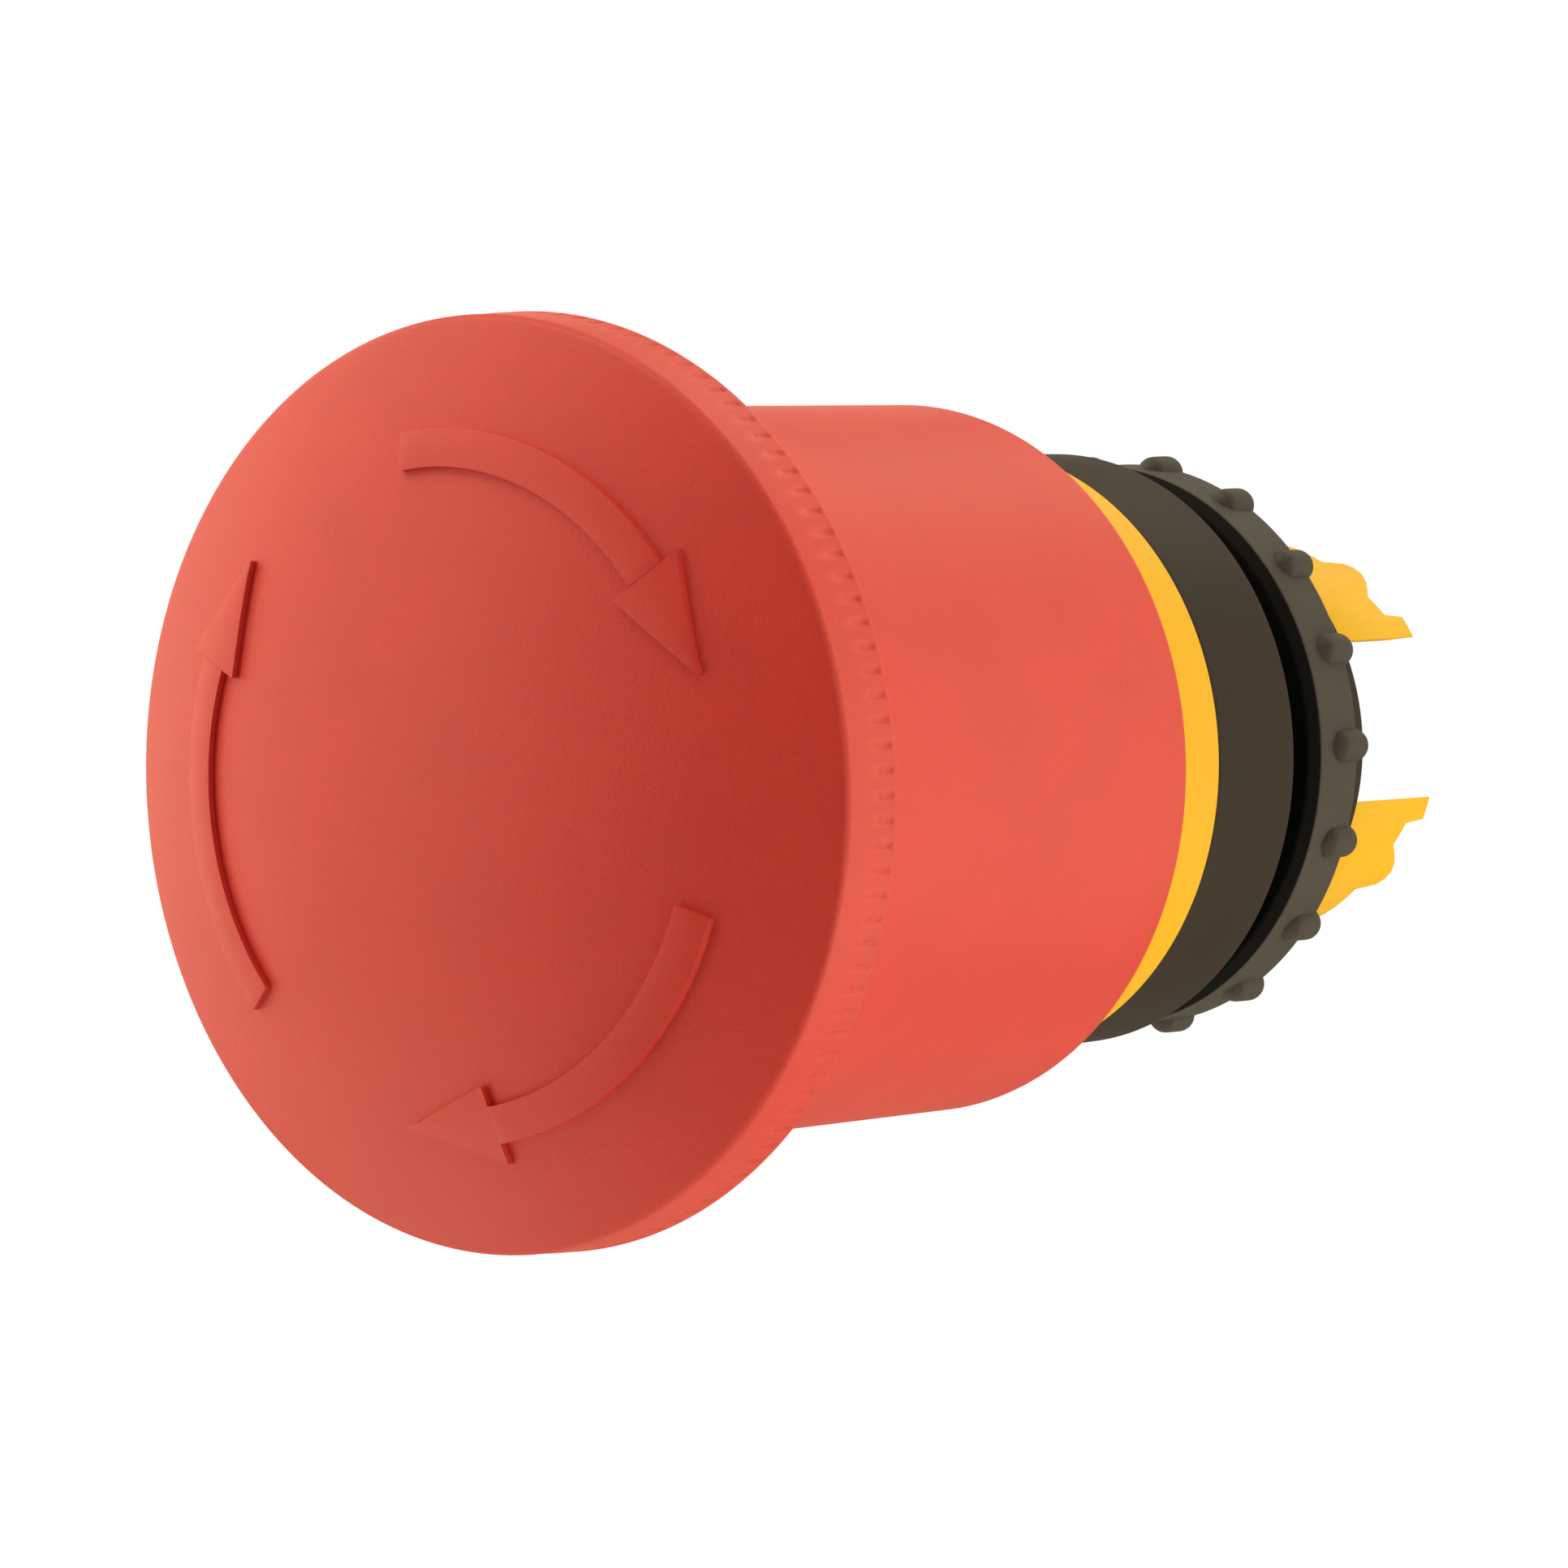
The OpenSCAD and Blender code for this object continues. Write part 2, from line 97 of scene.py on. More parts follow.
def only(obj):
    """Makes obj the only selected and the active object."""
    deselect_all()
    obj.select_set(True)
    bpy.context.view_layer.objects.active = obj


def edit(obj, selected="DESELECT"):
    """Opens obj in edit mode with all of it or nothing selected."""
    only(obj)
    bpy.ops.object.mode_set(mode="EDIT")
    bpy.ops.mesh.select_mode(type="VERT")
    bpy.ops.mesh.select_all(action=selected)


def leave_edit():
    bpy.ops.object.mode_set(mode="OBJECT")


def close_up(threshold=SAME_PLACE):
    """In edit mode: merges doubles and turns every face outwards."""
    bpy.ops.mesh.select_all(action="SELECT")
    bpy.ops.mesh.remove_doubles(threshold=threshold)
    bpy.ops.mesh.normals_make_consistent(inside=False)


def drop_loose(obj):
    """Deletes points and edges that carry no face."""
    edit(obj, "SELECT")
    bpy.ops.mesh.delete_loose(use_verts=True, use_edges=True, use_faces=False)
    leave_edit()


def pick_faces(obj, wanted):
    """In edit mode: selects the faces whose centre and normal satisfy wanted(centre, normal)."""
    bpy.ops.mesh.select_mode(type="FACE")
    bpy.ops.mesh.select_all(action="DESELECT")
    leave_edit()
    for face in obj.data.polygons:
        face.select = wanted(face.center, face.normal)
    bpy.ops.object.mode_set(mode="EDIT")


def extrude(along_x=0.0, along_y=0.0, along_z=0.0):
    bpy.ops.mesh.extrude_region_move(TRANSFORM_OT_translate={"value": (along_x, along_y, along_z)})


def bake_place(obj):
    """Puts obj's place into its mesh and its origin at the frame's origin."""
    only(obj)
    bpy.ops.object.transform_apply(location=True, rotation=True, scale=True)


def start_piece(name, add_primitive, scale=(1, 1, 1), **settings):
    """A primitive at its place and size, with nothing else selected."""
    deselect_all()
    add_primitive(**settings)
    piece = bpy.context.object
    piece.name = name
    piece.scale = scale
    bake_place(piece)
    return piece


def apply_modifiers(obj):
    only(obj)
    for modifier in list(obj.modifiers):
        bpy.ops.object.modifier_apply(modifier=modifier.name)


def arc(centre_r, centre_y, radius, start, end, count):
    """Points (r, y) on a round stretch of a profile, angles in degrees from +r towards +y."""
    angles = [math.radians(start + (end - start) * i / count) for i in range(count + 1)]
    return [(centre_r + radius * math.cos(a), centre_y + radius * math.sin(a)) for a in angles]


def soften(profile, cut, count=3, sharp=20):
    """Rounds the corners of a closed profile that turn by more than sharp degrees.

    Where a corner has room, one more point beyond each end of its curve keeps the shading flat.
    """
    out = []
    for i, corner in enumerate(profile):
        before, here, after = Vector(profile[i - 1]), Vector(corner), Vector(profile[(i + 1) % len(profile)])
        back, ahead = before - here, after - here
        if math.pi - back.angle(ahead) < math.radians(sharp):
            out.append(corner)
            continue
        reach = min(cut, back.length * 0.45, ahead.length * 0.45)
        first = here + back.normalized() * reach
        last = here + ahead.normalized() * reach
        curve = [first * (1 - t) ** 2 + here * 2 * t * (1 - t) + last * t ** 2
                 for t in [step / count for step in range(count + 1)]]
        if reach == cut:
            beyond = cut * 0.1
            curve = [first + back.normalized() * beyond] + curve + [last + ahead.normalized() * beyond]
        out += [(point.x, point.y) for point in curve]
    return out


def lathe(name, profile, steps, closed=True):
    """Turns (r, y) points in metres about the Y axis: one ring is extruded and scaled to the next."""
    start_r, start_y = profile[0]
    piece = start_piece(name, bpy.ops.mesh.primitive_circle_add, vertices=steps, radius=start_r,
                        location=(0, start_y, 0), rotation=(math.pi / 2, 0, 0))
    edit(piece, "SELECT")
    if not closed:
        bpy.ops.mesh.edge_face_add()
    path = profile + profile[:1] if closed else profile
    for (r0, y0), (r1, y1) in zip(path, path[1:]):
        extrude(along_y=y1 - y0)
        scale = r1 / r0
        bpy.ops.transform.resize(value=(scale, 1, scale), center_override=(0, y1, 0))
    close_up()
    leave_edit()
    return piece


def metres(profile):
    """A profile (r, w) in millimetres as (r, y) in metres."""
    return [(r * MM, -w * MM) for r, w in profile]


def turned_copy(obj, angle, name):
    """A copy of obj with its own mesh, turned about the button's axis."""
    copy = obj.copy()
    copy.data = obj.data.copy()
    copy.name = name
    bpy.context.collection.objects.link(copy)
    copy.data.transform(Matrix.Rotation(angle, 4, "Y"))
    return copy


def turn_to(degrees):
    """Turn about Y that takes +X to that angle, counted from +X towards +Z."""
    return -math.radians(degrees)


def join(pieces):
    """Joins pieces into the first one."""
    only(pieces[0])
    for piece in pieces[1:]:
        piece.select_set(True)
    bpy.ops.object.join()
    return pieces[0]


def cut_away(obj, tool):
    """Takes the shape of tool out of obj; the tool is used up."""
    cut = obj.modifiers.new("cut", "BOOLEAN")
    cut.operation = "DIFFERENCE"
    cut.solver = "EXACT"
    cut.object = tool
    apply_modifiers(obj)
    bpy.data.objects.remove(tool, do_unlink=True)


def round_edges(obj, width, segments, angle):
    """Bevels the edges at which the surface turns by more than angle degrees."""
    bevel = obj.modifiers.new("edge", "BEVEL")
    bevel.width = width
    bevel.segments = segments
    bevel.limit_method = "ANGLE"
    bevel.angle_limit = math.radians(angle)
    bevel.use_clamp_overlap = True
    apply_modifiers(obj)


def mark_edges(obj):
    """Stores at every vertex how far the surface turns outwards there, for the highlight painted on edges.
    """
    shape = bmesh.new()
    shape.from_mesh(obj.data)
    turns = [max([edge.calc_face_angle_signed(0) for edge in vert.link_edges] + [0]) for vert in shape.verts]
    shape.free()
    stored = obj.data.attributes.new("edge_turn", "FLOAT", "POINT")
    stored.data.foreach_set("value", turns)


def finish_piece(obj, material, body, slot, *nodes, angle=32):
    """Shading and material of a finished piece, which hides its frame nodes; with no body it is attached to
    none. slot is not used.
    """
    only(obj)
    bpy.ops.object.shade_smooth_by_angle(angle=math.radians(angle))
    obj.data.materials.clear()
    obj.data.materials.append(material)
    mark_edges(obj)
    if body:
        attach(obj, body)
    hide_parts(*nodes)


# ---------------------------------------------------------------- shader groups

def feed(tree, node, inputs):
    """Fills sockets of a node: each gets a plain value or a link from another node's output."""
    for key, value in inputs.items():
        if isinstance(value, bpy.types.NodeSocket):
            tree.links.new(value, node.inputs[key])
        else:
            node.inputs[key].default_value = value
    return node


def add(tree, kind, inputs=None, **settings):
    """A new node with its settings and its filled sockets."""
    made = tree.nodes.new(kind)
    for key, value in settings.items():
        setattr(made, key, value)
    return feed(tree, made, inputs or {})


def calculate(tree, operation, *values, clamp=False):
    """The result of a Math node."""
    inputs = dict(enumerate(values))
    return add(tree, "ShaderNodeMath", inputs, operation=operation, use_clamp=clamp).outputs[0]


def remap(tree, value, **ends):
    """A value mapped from one range to another, with ends such as To_Min."""
    inputs = {"Value": value, **{key.replace("_", " "): end for key, end in ends.items()}}
    return add(tree, "ShaderNodeMapRange", inputs).outputs["Result"]


def mix_colours(tree, share, first, second):
    """First colour where share is 0 and second where it is 1."""
    return add(tree, "ShaderNodeMix", {"Factor": share, "A": first, "B": second},
               data_type="RGBA").outputs["Result"]


def noise(tree, place, **inputs):
    return add(tree, "ShaderNodeTexNoise", {"Vector": place, **inputs}).outputs["Fac"]


def relief(tree, height, strength, depth):
    """Normal of a surface with that relief."""
    return add(tree, "ShaderNodeBump", {"Strength": strength, "Distance": depth, "Height": height}
               ).outputs["Normal"]


def object_place(tree):
    return add(tree, "ShaderNodeTexCoord").outputs["Object"]


def off_lattice(tree):
    """Object coordinates moved and turned, so that no plane of the object lies on the noise's own grid."""
    return add(tree, "ShaderNodeMapping", {
        "Vector": object_place(tree), "Location": (0.137, 0.291, 0.173), "Rotation": (0.4, 0.7, 0.2),
    }).outputs["Vector"]


def new_group(name, inputs, outputs):
    """An empty shader node group with named number sockets, and its two end nodes."""
    tree = bpy.data.node_groups.new(name, "ShaderNodeTree")
    for label, value in inputs.items():
        socket = tree.interface.new_socket(label, in_out="INPUT", socket_type="NodeSocketFloat")
        socket.default_value = value
    for label in outputs:
        tree.interface.new_socket(label, in_out="OUTPUT", socket_type="NodeSocketFloat")
    return tree, tree.nodes.new("NodeGroupInput"), tree.nodes.new("NodeGroupOutput")


def moulded_grain():
    """Spark-eroded mould texture: height of the fine grain, its speckle, and soft patches."""
    tree, start, end = new_group(
        "moulded_grain", {"Grain Size": 0.12 * MM, "Patch Size": 6 * MM}, ["Height", "Speckle", "Patch"])
    place = off_lattice(tree)
    fine_scale = calculate(tree, "DIVIDE", 1, start.outputs["Grain Size"])
    fine = noise(tree, place, Scale=fine_scale, Detail=3, Roughness=0.6)
    pits = add(tree, "ShaderNodeTexVoronoi", {"Vector": place, "Scale": fine_scale, "Smoothness": 0.6},
               feature="SMOOTH_F1")
    patch_scale = calculate(tree, "DIVIDE", 1, start.outputs["Patch Size"])
    feed(tree, end, {
        "Height": calculate(tree, "MULTIPLY_ADD", pits.outputs["Distance"], 0.6, fine),
        "Speckle": fine,
        "Patch": noise(tree, place, Scale=patch_scale, Detail=4, Roughness=0.55),
    })
    return tree


def edge_highlight():
    """Mask of the highlight painted on edges: it grows towards sharp outer edges, broken up by noise."""
    tree, start, end = new_group("edge_highlight", {"Amount": 0.5, "Breakup Size": 0.8 * MM}, ["Mask"])
    turn = add(tree, "ShaderNodeAttribute", attribute_name="edge_turn").outputs["Fac"]
    edge = remap(tree, turn, From_Min=0.2, From_Max=0.6)
    breakup_scale = calculate(tree, "DIVIDE", 1, start.outputs["Breakup Size"])
    breakup = noise(tree, off_lattice(tree), Scale=breakup_scale, Detail=3)
    highlight = calculate(tree, "MULTIPLY", edge, breakup)
    feed(tree, end, {"Mask": calculate(tree, "MULTIPLY", highlight, start.outputs["Amount"], clamp=True)})
    return tree


GRAIN = moulded_grain()
EDGE_HIGHLIGHT = edge_highlight()


# ---------------------------------------------------------------- materials

PATCH_SIZE = 6 * MM
# Strength of the lighter tone painted on sharp edges as a highlight.
EDGE_HIGHLIGHT_AMOUNT = 0.4


def new_finish(name):
    """An empty material with its node tree and its shader."""
    material = bpy.data.materials.new(name)
    material.use_nodes = True
    return material, material.node_tree, material.node_tree.nodes["Principled BSDF"]


def plastic(name, deep, pale, highlight, rough, grain, bump, specular=0.5):
    """Moulded plastic: deep and pale tones in grain and soft patches, and a lighter tone painted on sharp
    edges as a highlight.
    """
    material, tree, shader = new_finish(name)
    marks = add(tree, "ShaderNodeGroup", {"Grain Size": grain, "Patch Size": PATCH_SIZE}, node_tree=GRAIN)
    edge_highlights = add(tree, "ShaderNodeGroup", {"Amount": EDGE_HIGHLIGHT_AMOUNT}, node_tree=EDGE_HIGHLIGHT)
    speckle = marks.outputs["Speckle"]
    patch = remap(tree, marks.outputs["Patch"], From_Min=0.3, From_Max=0.7)
    drift = calculate(tree, "MULTIPLY_ADD", patch, 0.3, -0.15)
    tone = mix_colours(tree, calculate(tree, "ADD", speckle, drift, clamp=True), (*deep, 1), (*pale, 1))
    feed(tree, shader, {
        "Base Color": mix_colours(tree, edge_highlights.outputs["Mask"], tone, (*highlight, 1)),
        "Roughness": remap(tree, speckle, To_Min=rough - 0.06, To_Max=rough + 0.06),
        "Specular IOR Level": specular,
        "Normal": relief(tree, marks.outputs["Height"], bump, 0.02 * MM),
    })
    return material


def steel(name, dark, light, rough, streak):
    """Drawn or turned steel: fine streaks round the button's axis."""
    material, tree, shader = new_finish(name)
    stretched = add(tree, "ShaderNodeMapping", {"Vector": object_place(tree), "Scale": (1, 12, 1)})
    streaks = noise(tree, stretched.outputs["Vector"], Scale=1 / streak, Detail=4, Roughness=0.65)
    feed(tree, shader, {
        "Base Color": mix_colours(tree, streaks, (*dark, 1), (*light, 1)),
        "Roughness": remap(tree, streaks, To_Min=rough - 0.08, To_Max=rough + 0.12),
        "Metallic": 1,
        "Normal": relief(tree, streaks, 0.25, 0.01 * MM),
    })
    return material


# The third colour of each moulding is its lighter tone painted on sharp edges as a highlight.
red = plastic("red_moulding", (0.62, 0.034, 0.025), (0.80, 0.046, 0.034), (0.85, 0.10, 0.07),
              rough=0.50, grain=0.18 * MM, bump=0.5)
yellow = plastic("yellow_moulding", (0.87, 0.45, 0.004), (0.95, 0.51, 0.006), (0.98, 0.58, 0.04),
                 rough=0.48, grain=0.14 * MM, bump=0.2, specular=0.25)
black = plastic("black_moulding", (0.022, 0.014, 0.010), (0.037, 0.024, 0.018), (0.08, 0.065, 0.05),
                rough=0.62, grain=0.15 * MM, bump=0.6, specular=0.2)
nut_black = plastic("ring_nut_moulding", (0.048, 0.040, 0.037), (0.068, 0.057, 0.052), (0.13, 0.11, 0.09),
                    rough=0.62, grain=0.15 * MM, bump=0.6, specular=0.3)
rubber = plastic("seal_rubber_black", (0.0022, 0.0022, 0.0022), (0.0042, 0.0042, 0.0040), (0.01, 0.01, 0.01),
                 rough=0.75, grain=0.2 * MM, bump=0.3, specular=0.15)
acetal = plastic("natural_acetal", (0.72, 0.70, 0.62), (0.80, 0.78, 0.71), (0.88, 0.87, 0.82),
                 rough=0.42, grain=0.15 * MM, bump=0.15)
plated = steel("zinc_plated_steel", (0.52, 0.52, 0.50), (0.70, 0.70, 0.69), 0.30, 1.2 * MM)
wire = steel("spring_wire", (0.38, 0.38, 0.38), (0.58, 0.58, 0.58), 0.26, 0.6 * MM)


# ---------------------------------------------------------------- mushroom cap

CREASE_R = 22.4 * MM        # between dome and band
DOME_RISE = 5 * MM
BAND_WIDTH = 3.7 * MM
RIM_IN_R = 21.0 * MM
CAP_WALL = 2.2 * MM
SOCKET_IN_R = 7.05 * MM     # of the socket that holds the hub
SOCKET_OUT_R = 8.7 * MM
NOTCHES = 120
FACES_PER_NOTCH = 5
ARROW_RISE = 0.35 * MM
ARROWS = 3

dome_apex = span_y("mushroom_cap")[0]
socket_rear = span_y("mushroom_cap")[1]
cap_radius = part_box("mushroom_cap")[1][0]
cap_crease = dome_apex + DOME_RISE
cap_back = cap_crease + BAND_WIDTH
notch_rear = cap_back - 0.4 * MM
notch_front = cap_back - 1.5 * MM
ball_radius = (CREASE_R ** 2 + DOME_RISE ** 2) / (2 * DOME_RISE)
ball_centre = dome_apex + ball_radius


def dome_y(r):
    """Place along the axis of the dome at radius r."""
    return ball_centre - math.sqrt(ball_radius ** 2 - r ** 2)


def dome_arc(rise, r_from, r_to, count):
    """Points between two radii on the dome's arc, raised by rise."""
    ball = ball_radius + rise
    a0 = math.asin(r_from / ball)
    a1 = math.asin(r_to / ball)
    angles = [a0 + (a1 - a0) * i / count for i in range(count + 1)]
    return [(ball * math.sin(a), ball_centre - ball * math.cos(a)) for a in angles]


def raised_arrow():
    """One arrow, still flat in front: a spun shaft, and a head drawn out of the shaft's end."""
    shaft, head, middle = 1.8 * MM, 3.8 * MM, 16.15 * MM
    tail_angle, sweep, head_sweep = 101, 60.7, 19.4
    rows, tip_width = 8, 0.04
    sunk = dome_y(18 * MM) + 0.25 * MM
    top = dome_y(14 * MM) - 0.6 * MM
    foot = Vector((middle, (sunk + top) / 2, 0))
    arrow = start_piece("raised_arrow", bpy.ops.mesh.primitive_plane_add, size=1, location=foot,
                        scale=(shaft, sunk - top, 1))
    edit(arrow, "SELECT")
    bpy.ops.mesh.spin(steps=30, angle=math.radians(sweep), center=(0, 0, 0), axis=AXIS)
    pick_faces(arrow, lambda c, n: abs(c.z) < 0.01 * MM and abs(n.z) > 0.9)
    extrude()
    bpy.ops.transform.resize(value=(head / shaft, 1, 1), center_override=foot)
    turn = math.radians(head_sweep)
    tip_r = middle + 0.4 * MM
    tip = Vector((tip_r * math.cos(turn), foot.y, -tip_r * math.sin(turn)))
    width = 1.0
    for row in range(1, rows + 1):
        here = foot + (tip - foot) * row / rows
        narrowed = max(1 - row / rows, tip_width)
        extrude(*((tip - foot) / rows))
        bpy.ops.transform.resize(value=(narrowed / width, 1, 1), center_override=here)
        width = narrowed
    close_up()
    leave_edit()
    return arrow, turn_to(tail_angle - sweep), top


def make_arrows():
    """The arrows on the dome: their front faces are pressed onto a shell that follows the dome."""
    arrow, swing, top = raised_arrow()
    face = arrow.vertex_groups.new(name="face")
    face.add([v.index for v in arrow.data.vertices if v.co.y < top + 0.1 * MM], 1.0, "REPLACE")
    shell = lathe("arrow_face_guide", dome_arc(ARROW_RISE, 12 * MM, 21 * MM, 12), 360, closed=False)
    press = arrow.modifiers.new("follow_dome", "SHRINKWRAP")
    press.wrap_method = "PROJECT"
    press.use_project_y = True
    press.use_negative_direction = True
    press.use_positive_direction = True
    press.target = shell
    press.vertex_group = "face"
    apply_modifiers(arrow)
    bpy.data.objects.remove(shell, do_unlink=True)
    arrow.vertex_groups.clear()
    round_edges(arrow, 0.14 * MM, segments=3, angle=50)
    arrow.data.transform(Matrix.Rotation(swing, 4, "Y"))
    return [arrow] + [turned_copy(arrow, TURN * i / ARROWS, "raised_arrow_%d" % i) for i in range(1, ARROWS)]


def crease_curve():
    """Round crease that leaves the band and runs smoothly into the dome."""
    fillet = 0.55 * MM
    centre_r = CREASE_R + 0.02 * MM - fillet
    centre_y = ball_centre - math.sqrt((ball_radius - fillet) ** 2 - centre_r ** 2)
    meets_dome = -math.degrees(math.acos(centre_r / (ball_radius - fillet)))
    return arc(centre_r, centre_y, fillet, 0, meets_dome, 8)


def in_notch(centre, _normal):
    """Two of every five faces of the notched row are a notch."""
    if not notch_front < centre.y < notch_rear or math.hypot(centre.x, centre.z) < 22 * MM:
        return False
    turns = math.atan2(centre.z, centre.x) / TURN
    return round(turns * NOTCHES * FACES_PER_NOTCH - 0.5) % FACES_PER_NOTCH in (0, 1)


def make_cap():
    inside = dome_arc(-CAP_WALL, POLE_R, SOCKET_IN_R, 6)
    inside += [(SOCKET_IN_R, socket_rear), (SOCKET_OUT_R, socket_rear)]
    inside += dome_arc(-CAP_WALL, SOCKET_OUT_R, RIM_IN_R, 12)
    band = [
        (RIM_IN_R, cap_back - 0.2 * MM), (RIM_IN_R + 0.15 * MM, cap_back),
        (cap_radius - 0.25 * MM, cap_back), (cap_radius - 0.06 * MM, cap_back - 0.07 * MM),
        (cap_radius, cap_back - 0.22 * MM), (cap_radius - 0.01 * MM, notch_rear),
        (cap_radius - 0.03 * MM, notch_front), (CREASE_R + 0.03 * MM, cap_crease + 1.2 * MM),
    ]
    outside = crease_curve() + dome_arc(0, 21.6 * MM, POLE_R, 40)
    cap = lathe("mushroom_cap_red", inside + band + outside, NOTCHES * FACES_PER_NOTCH)
    drop_loose(cap)
    edit(cap)
    pick_faces(cap, in_notch)
    bpy.ops.mesh.inset(thickness=0.12 * MM, depth=-0.08 * MM, use_individual=False)
    leave_edit()
    cap = join([cap] + make_arrows())
    finish_piece(cap, red, "cap", "red_plastic", "mushroom_cap", angle=38)


# ---------------------------------------------------------------- skirt, yellow ring, collar, seal

def turned_piece(name, points, material, body, slot, node, cut, steps):
    """A profile with softened corners, turned about the axis."""
    finish_piece(lathe(name, soften(metres(points), cut), steps), material, body, slot, node)


def make_turned_pieces():
    skirt_front, skirt_rear = span_y("cap_skirt")
    rear_w, front_w = -skirt_rear / MM, -skirt_front / MM
    turned_piece("cap_skirt_red", [
        (17.45, rear_w), (17.93, 41.3), (20.95, 41.3), (20.95, front_w), (15.75, front_w),
        (15.75, 39.85), (8.75, 39.85), (8.75, 38.45), (15.75, 38.45), (15.75, rear_w),
    ], red, "cap", "red_plastic", "cap_skirt", cut=0.28 * MM, steps=384)
    turned_piece("yellow_bearing_ring", [
        (11.45, 7.95), (15.15, 7.95), (15.15, 24), (13.95, 24), (13.95, 9.45), (11.45, 9.45),
    ], yellow, "housing", "yellow_plastic", "yellow_ring", cut=0.12 * MM, steps=384)
    turned_piece("front_collar_black", [
        (13.35, 1.5), (14.75, 1.5), (14.9, 7.6), (14.62, 7.9), (11.45, 7.9), (11.45, 4.75), (13.35, 4.75),
    ], black, "housing", "black_plastic", "front_collar", cut=0.18 * MM, steps=384)
    turned_piece("panel_seal_black", [
        (11.05, 1.05), (13.55, 1.05), (13.7, 1.2), (13.7, 1.5), (11.05, 1.5),
    ], rubber, "housing", "seal_rubber", "panel_seal", cut=0.1 * MM, steps=256)


# ---------------------------------------------------------------- ring nut

NUT_THICKNESS = 3.6         # millimetres, as all values of this section
NUT_R = 14.1
NUT_BORE_R = 11.08
NUT_GROOVE_R = 11.5
THREAD_PITCH = 1.5
NUT_BEVEL = 0.3
NUT_CHAMFER = 0.5
KNOBS = 18
KNOB_R = 0.85
KNOB_MIDDLE_R = 13.85
KNOB_TURN = 1.7             # degrees; the nut stands where it was tightened to


def nut_knob(back):
    """The first knob: a rod with a round rear end and a tapered front end."""
    pole = POLE_R / MM
    rod_back, rod_front = back + 0.4, back + 1.6
    quarter = [math.pi / 2 * i / 8 for i in range(1, 9)]
    outline = [(pole, rod_back - KNOB_R)]
    outline += [(KNOB_R * math.sin(t), rod_back - KNOB_R * math.cos(t)) for t in quarter]
    outline += [(KNOB_R, rod_front - 0.25), (KNOB_R - 0.03, rod_front), (KNOB_R - 0.12, rod_front + 0.2),
                (0.15, rod_front + 0.72), (pole, rod_front + 0.75)]
    knob = lathe("nut_knob", metres(outline), 32)
    drop_loose(knob)
    knob.data.transform(Matrix.Translation((KNOB_MIDDLE_R * MM, 0, 0)))
    knob.data.transform(Matrix.Rotation(turn_to(KNOB_TURN), 4, "Y"))
    return knob


def make_ring_nut():
    nut_front = span_y("ring_nut")[0]
    front = -nut_front / MM
    back = front - NUT_THICKNESS
    points = [
        (NUT_R - NUT_CHAMFER, front), (NUT_R, front - NUT_CHAMFER), (NUT_R, back + NUT_BEVEL),
        (NUT_R - NUT_BEVEL, back), (11.35, back), (NUT_BORE_R, back + NUT_BEVEL),
    ]
    for groove in range(2):
        middle = back + 1.2 + THREAD_PITCH * groove
        points += [(NUT_BORE_R, middle - 0.5), (NUT_GROOVE_R, middle), (NUT_BORE_R, middle + 0.5)]
    points += [(NUT_BORE_R, front - NUT_BEVEL), (11.35, front)]
    nut = lathe("ring_nut_black", soften(metres(points), 0.12 * MM), 288)
    knob = nut_knob(back)
    copies = [turned_copy(knob, TURN * i / KNOBS, "nut_knob_%d" % i) for i in range(1, KNOBS)]
    nut = join([nut, knob] + copies)
    finish_piece(nut, nut_black, "nut", "black_plastic", "ring_nut", angle=35)
    # The front face and chamfer of the nut get the seal's near-black rubber finish, much darker than the
    # rest of the nut.
    nut.data.materials.append(rubber)
    for face in nut.data.polygons:
        if face.normal.y < -0.6 and face.center.y < nut_front + 0.45 * MM:
            face.material_index = 1


# ---------------------------------------------------------------- threaded barrel

def make_barrel():
    """Flange, neck, bore and thread, with two slots for the plunger's keys."""
    crest, root, bore, neck, flange = 11.0, 10.55, 9.75, 11.4, 13.3
    thread_back, turns, rear, mouth = -8.4, 5, -9.2, 17.9
    points = [(bore, rear), (crest - 0.4, rear), (crest, rear + 0.4)]
    for turn in range(turns):
        start = thread_back + THREAD_PITCH * turn
        points += [(crest, start), (crest, start + 0.5), (root, start + 1.0)]
    points += [
        (crest, -0.9), (crest, 1.05), (10.75, 1.05), (10.75, 1.55), (flange, 1.55), (flange, 4.7),
        (neck, 4.7), (neck, mouth), (8.9, mouth), (8.9, 9.15), (bore, 9.15),
    ]
    barrel = lathe("threaded_barrel_black", soften(metres(points), 0.1 * MM, count=2), 256)
    for side in (1, -1):
        slot = start_piece("key_slot", bpy.ops.mesh.primitive_cube_add, size=1,
                           location=(0, 6.35 * MM, side * 5.21 * MM), scale=(2.4 * MM, 7.7 * MM, 10.42 * MM))
        cut_away(barrel, slot)
    finish_piece(barrel, black, "housing", "black_plastic", "threaded_barrel")


# ---------------------------------------------------------------- plunger

def merged_copy(node, name):
    """A new piece from a frame node's shape: doubles merged and flat faces joined up."""
    source = frame["nodes"][node]
    copy = bpy.data.objects.new(name, source.data.copy())
    bpy.context.collection.objects.link(copy)
    copy.data.transform(source.matrix_world)
    edit(copy, "SELECT")
    bpy.ops.mesh.customdata_custom_splitnormals_clear()
    close_up(0.002 * MM)
    bpy.ops.mesh.dissolve_limited(angle_limit=math.radians(0.5))
    leave_edit()
    return copy


def make_plunger():
    plunger = merged_copy("plunger", "plunger_yellow")
    round_edges(plunger, 0.16 * MM, segments=2, angle=35)
    finish_piece(plunger, yellow, "plunger", "yellow_plastic", "plunger", angle=35)


# ---------------------------------------------------------------- springs

def wire_end(name, wire_r, mean_r, at, fill=True, sides=12):
    """The wire's round end, standing at mean_r on the X axis and at the place at along the Y axis."""
    return start_piece(name, bpy.ops.mesh.primitive_circle_add, vertices=sides, radius=wire_r,
                       location=(mean_r, at, 0), fill_type="NGON" if fill else "NOTHING")


